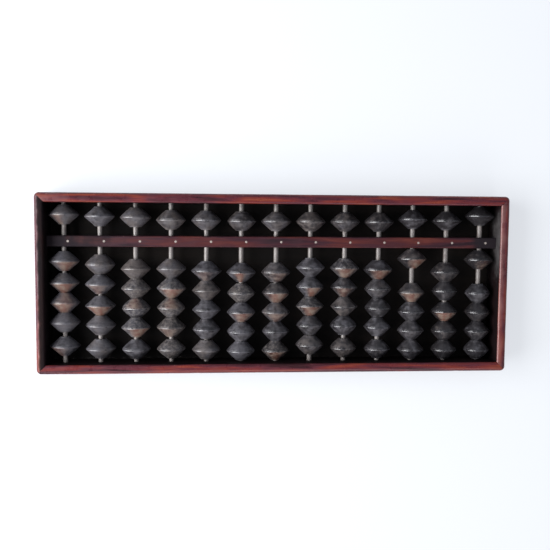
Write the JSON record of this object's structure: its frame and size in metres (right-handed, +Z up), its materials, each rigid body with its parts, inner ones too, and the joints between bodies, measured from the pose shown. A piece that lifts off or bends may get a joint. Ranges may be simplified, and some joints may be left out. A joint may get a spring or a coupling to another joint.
{
  "type": "abacus",
  "caption": "Long low wooden counting frame with sliding bicone beads on bamboo rods, a reckoning beam and a closed back.",
  "frame": {"origin": "centre of the underside, where the abacus rests on a table", "axes": "+X along the row of columns to the user's right, +Y away from the user towards the upper deck, +Z up out of the open side"},
  "size_m": [0.312, 0.118, 0.026],
  "materials": {
    "lacquered_frame": "worn red-brown lacquer, semi-gloss",
    "beam_wood": "dark red-brown wood, dusty satin",
    "board_wood": "dark stained board, matt",
    "bamboo": "smooth split bamboo, satin",
    "bead_wood": "dark turned wood, worn to a semi-gloss"
  },
  "bodies": {
    "frame": {"far_rail": "lacquered_frame", "near_rail": "lacquered_frame", "left_stile": "lacquered_frame", "right_stile": "lacquered_frame", "reckoning_beam": "beam_wood", "back_board": "board_wood", "rod_01": "bamboo", "rod_02": "bamboo", "rod_03": "bamboo", "rod_04": "bamboo", "rod_05": "bamboo", "rod_06": "bamboo", "rod_07": "bamboo", "rod_08": "bamboo", "rod_09": "bamboo", "rod_10": "bamboo", "rod_11": "bamboo", "rod_12": "bamboo", "rod_13": "bamboo"},
    "heaven_bead_01": {"heaven_bead_01": "bead_wood"},
    "earth_bead_01_1": {"earth_bead_01_1": "bead_wood"},
    "earth_beads_01_2to4": {"earth_beads_01_2to4": "bead_wood"},
    "earth_bead_01_5": {"earth_bead_01_5": "bead_wood"},
    "heaven_bead_02": {"heaven_bead_02": "bead_wood"},
    "earth_beads_02_1to2": {"earth_beads_02_1to2": "bead_wood"},
    "earth_beads_02_3to4": {"earth_beads_02_3to4": "bead_wood"},
    "earth_bead_02_5": {"earth_bead_02_5": "bead_wood"},
    "heaven_bead_03": {"heaven_bead_03": "bead_wood"},
    "earth_beads_03_1to4": {"earth_beads_03_1to4": "bead_wood"},
    "earth_bead_03_5": {"earth_bead_03_5": "bead_wood"},
    "heaven_bead_04": {"heaven_bead_04": "bead_wood"},
    "earth_beads_04_1to4": {"earth_beads_04_1to4": "bead_wood"},
    "earth_bead_04_5": {"earth_bead_04_5": "bead_wood"},
    "heaven_bead_05": {"heaven_bead_05": "bead_wood"},
    "earth_beads_05_1to4": {"earth_beads_05_1to4": "bead_wood"},
    "earth_bead_05_5": {"earth_bead_05_5": "bead_wood"},
    "heaven_bead_06": {"heaven_bead_06": "bead_wood"},
    "earth_bead_06_1": {"earth_bead_06_1": "bead_wood"},
    "earth_beads_06_2to5": {"earth_beads_06_2to5": "bead_wood"},
    "heaven_bead_07": {"heaven_bead_07": "bead_wood"},
    "earth_bead_07_1": {"earth_bead_07_1": "bead_wood"},
    "earth_beads_07_2to5": {"earth_beads_07_2to5": "bead_wood"},
    "heaven_bead_08": {"heaven_bead_08": "bead_wood"},
    "earth_beads_08_1to4": {"earth_beads_08_1to4": "bead_wood"},
    "earth_bead_08_5": {"earth_bead_08_5": "bead_wood"},
    "heaven_bead_09": {"heaven_bead_09": "bead_wood"},
    "earth_beads_09_1to4": {"earth_beads_09_1to4": "bead_wood"},
    "earth_bead_09_5": {"earth_bead_09_5": "bead_wood"},
    "heaven_bead_10": {"heaven_bead_10": "bead_wood"},
    "earth_beads_10_1to4": {"earth_beads_10_1to4": "bead_wood"},
    "earth_bead_10_5": {"earth_bead_10_5": "bead_wood"},
    "heaven_bead_11": {"heaven_bead_11": "bead_wood"},
    "earth_bead_11_1": {"earth_bead_11_1": "bead_wood"},
    "earth_beads_11_2to5": {"earth_beads_11_2to5": "bead_wood"},
    "heaven_bead_12": {"heaven_bead_12": "bead_wood"},
    "earth_beads_12_1to2": {"earth_beads_12_1to2": "bead_wood"},
    "earth_beads_12_3to5": {"earth_beads_12_3to5": "bead_wood"},
    "heaven_bead_13": {"heaven_bead_13": "bead_wood"},
    "earth_bead_13_1": {"earth_bead_13_1": "bead_wood"},
    "earth_beads_13_2to5": {"earth_beads_13_2to5": "bead_wood"}
  },
  "joints": [
    {"name": "heaven_bead_01_slide", "type": "slide", "parent": "frame", "child": "heaven_bead_01", "axis": [0, 1, 0], "range_m": [-0.0069, 0.0011]},
    {"name": "earth_bead_01_1_slide", "type": "slide", "parent": "frame", "child": "earth_bead_01_1", "axis": [0, 1, 0], "range_m": [-0.0011, 0.0028]},
    {"name": "earth_beads_01_2to4_slide", "type": "slide", "parent": "frame", "child": "earth_beads_01_2to4", "axis": [0, 1, 0], "range_m": [-0.0027, 0.0011]},
    {"name": "earth_bead_01_5_slide", "type": "slide", "parent": "frame", "child": "earth_bead_01_5", "axis": [0, 1, 0], "range_m": [-0.0041, 0.0027]},
    {"name": "heaven_bead_02_slide", "type": "slide", "parent": "frame", "child": "heaven_bead_02", "axis": [0, 1, 0], "range_m": [-0.0058, 0.0022]},
    {"name": "earth_beads_02_1to2_slide", "type": "slide", "parent": "frame", "child": "earth_beads_02_1to2", "axis": [0, 1, 0], "range_m": [-0.001, 0.005]},
    {"name": "earth_beads_02_3to4_slide", "type": "slide", "parent": "frame", "child": "earth_beads_02_3to4", "axis": [0, 1, 0], "range_m": [-0.0024, 0.001]},
    {"name": "earth_bead_02_5_slide", "type": "slide", "parent": "frame", "child": "earth_bead_02_5", "axis": [0, 1, 0], "range_m": [-0.0023, 0.0024]},
    {"name": "heaven_bead_03_slide", "type": "slide", "parent": "frame", "child": "heaven_bead_03", "axis": [0, 1, 0], "range_m": [-0.0053, 0.0027]},
    {"name": "earth_beads_03_1to4_slide", "type": "slide", "parent": "frame", "child": "earth_beads_03_1to4", "axis": [0, 1, 0], "range_m": [-0.0014, 0.0078]},
    {"name": "earth_bead_03_5_slide", "type": "slide", "parent": "frame", "child": "earth_bead_03_5", "axis": [0, 1, 0], "range_m": [-0.0017, 0.0014]},
    {"name": "heaven_bead_04_slide", "type": "slide", "parent": "frame", "child": "heaven_bead_04", "axis": [0, 1, 0], "range_m": [-0.0038, 0.0042]},
    {"name": "earth_beads_04_1to4_slide", "type": "slide", "parent": "frame", "child": "earth_beads_04_1to4", "axis": [0, 1, 0], "range_m": [-0.0014, 0.0076]},
    {"name": "earth_bead_04_5_slide", "type": "slide", "parent": "frame", "child": "earth_bead_04_5", "axis": [0, 1, 0], "range_m": [-0.0019, 0.0014]},
    {"name": "heaven_bead_05_slide", "type": "slide", "parent": "frame", "child": "heaven_bead_05", "axis": [0, 1, 0], "range_m": [-0.0037, 0.0043]},
    {"name": "earth_beads_05_1to4_slide", "type": "slide", "parent": "frame", "child": "earth_beads_05_1to4", "axis": [0, 1, 0], "range_m": [-0.0006, 0.0091]},
    {"name": "earth_bead_05_5_slide", "type": "slide", "parent": "frame", "child": "earth_bead_05_5", "axis": [0, 1, 0], "range_m": [-0.0012, 0.0006]},
    {"name": "heaven_bead_06_slide", "type": "slide", "parent": "frame", "child": "heaven_bead_06", "axis": [0, 1, 0], "range_m": [-0.0033, 0.0047]},
    {"name": "earth_bead_06_1_slide", "type": "slide", "parent": "frame", "child": "earth_bead_06_1", "axis": [0, 1, 0], "range_m": [-0.0005, 0.0101]},
    {"name": "earth_beads_06_2to5_slide", "type": "slide", "parent": "frame", "child": "earth_beads_06_2to5", "axis": [0, 1, 0], "range_m": [-0.0003, 0.0005]},
    {"name": "heaven_bead_07_slide", "type": "slide", "parent": "frame", "child": "heaven_bead_07", "axis": [0, 1, 0], "range_m": [-0.0032, 0.0048]},
    {"name": "earth_bead_07_1_slide", "type": "slide", "parent": "frame", "child": "earth_bead_07_1", "axis": [0, 1, 0], "range_m": [-0.0006, 0.0099]},
    {"name": "earth_beads_07_2to5_slide", "type": "slide", "parent": "frame", "child": "earth_beads_07_2to5", "axis": [0, 1, 0], "range_m": [-0.0004, 0.0006]},
    {"name": "heaven_bead_08_slide", "type": "slide", "parent": "frame", "child": "heaven_bead_08", "axis": [0, 1, 0], "range_m": [-0.0033, 0.0047]},
    {"name": "earth_beads_08_1to4_slide", "type": "slide", "parent": "frame", "child": "earth_beads_08_1to4", "axis": [0, 1, 0], "range_m": [-0.0002, 0.0066]},
    {"name": "earth_bead_08_5_slide", "type": "slide", "parent": "frame", "child": "earth_bead_08_5", "axis": [0, 1, 0], "range_m": [-0.0041, 0.0002]},
    {"name": "heaven_bead_09_slide", "type": "slide", "parent": "frame", "child": "heaven_bead_09", "axis": [0, 1, 0], "range_m": [-0.0034, 0.0046]},
    {"name": "earth_beads_09_1to4_slide", "type": "slide", "parent": "frame", "child": "earth_beads_09_1to4", "axis": [0, 1, 0], "range_m": [-0.002, 0.0069]},
    {"name": "earth_bead_09_5_slide", "type": "slide", "parent": "frame", "child": "earth_bead_09_5", "axis": [0, 1, 0], "range_m": [-0.002, 0.002]},
    {"name": "heaven_bead_10_slide", "type": "slide", "parent": "frame", "child": "heaven_bead_10", "axis": [0, 1, 0], "range_m": [-0.0033, 0.0047]},
    {"name": "earth_beads_10_1to4_slide", "type": "slide", "parent": "frame", "child": "earth_beads_10_1to4", "axis": [0, 1, 0], "range_m": [-0.0018, 0.008]},
    {"name": "earth_bead_10_5_slide", "type": "slide", "parent": "frame", "child": "earth_bead_10_5", "axis": [0, 1, 0], "range_m": [-0.0011, 0.0018]},
    {"name": "heaven_bead_11_slide", "type": "slide", "parent": "frame", "child": "heaven_bead_11", "axis": [0, 1, 0], "range_m": [-0.0052, 0.0028]},
    {"name": "earth_bead_11_1_slide", "type": "slide", "parent": "frame", "child": "earth_bead_11_1", "axis": [0, 1, 0], "range_m": [-0.0097, 0.0006]},
    {"name": "earth_beads_11_2to5_slide", "type": "slide", "parent": "frame", "child": "earth_beads_11_2to5", "axis": [0, 1, 0], "range_m": [-0.0006, 0.0097]},
    {"name": "heaven_bead_12_slide", "type": "slide", "parent": "frame", "child": "heaven_bead_12", "axis": [0, 1, 0], "range_m": [-0.0045, 0.0035]},
    {"name": "earth_beads_12_1to2_slide", "type": "slide", "parent": "frame", "child": "earth_beads_12_1to2", "axis": [0, 1, 0], "range_m": [-0.001, 0.0095]},
    {"name": "earth_beads_12_3to5_slide", "type": "slide", "parent": "frame", "child": "earth_beads_12_3to5", "axis": [0, 1, 0], "range_m": [-0.0004, 0.001]},
    {"name": "heaven_bead_13_slide", "type": "slide", "parent": "frame", "child": "heaven_bead_13", "axis": [0, 1, 0], "range_m": [-0.0078, 0.0002]},
    {"name": "earth_bead_13_1_slide", "type": "slide", "parent": "frame", "child": "earth_bead_13_1", "axis": [0, 1, 0], "range_m": [-0.0096, 0.0011]},
    {"name": "earth_beads_13_2to5_slide", "type": "slide", "parent": "frame", "child": "earth_beads_13_2to5", "axis": [0, 1, 0], "range_m": [-0.0002, 0.0096]}
  ]
}
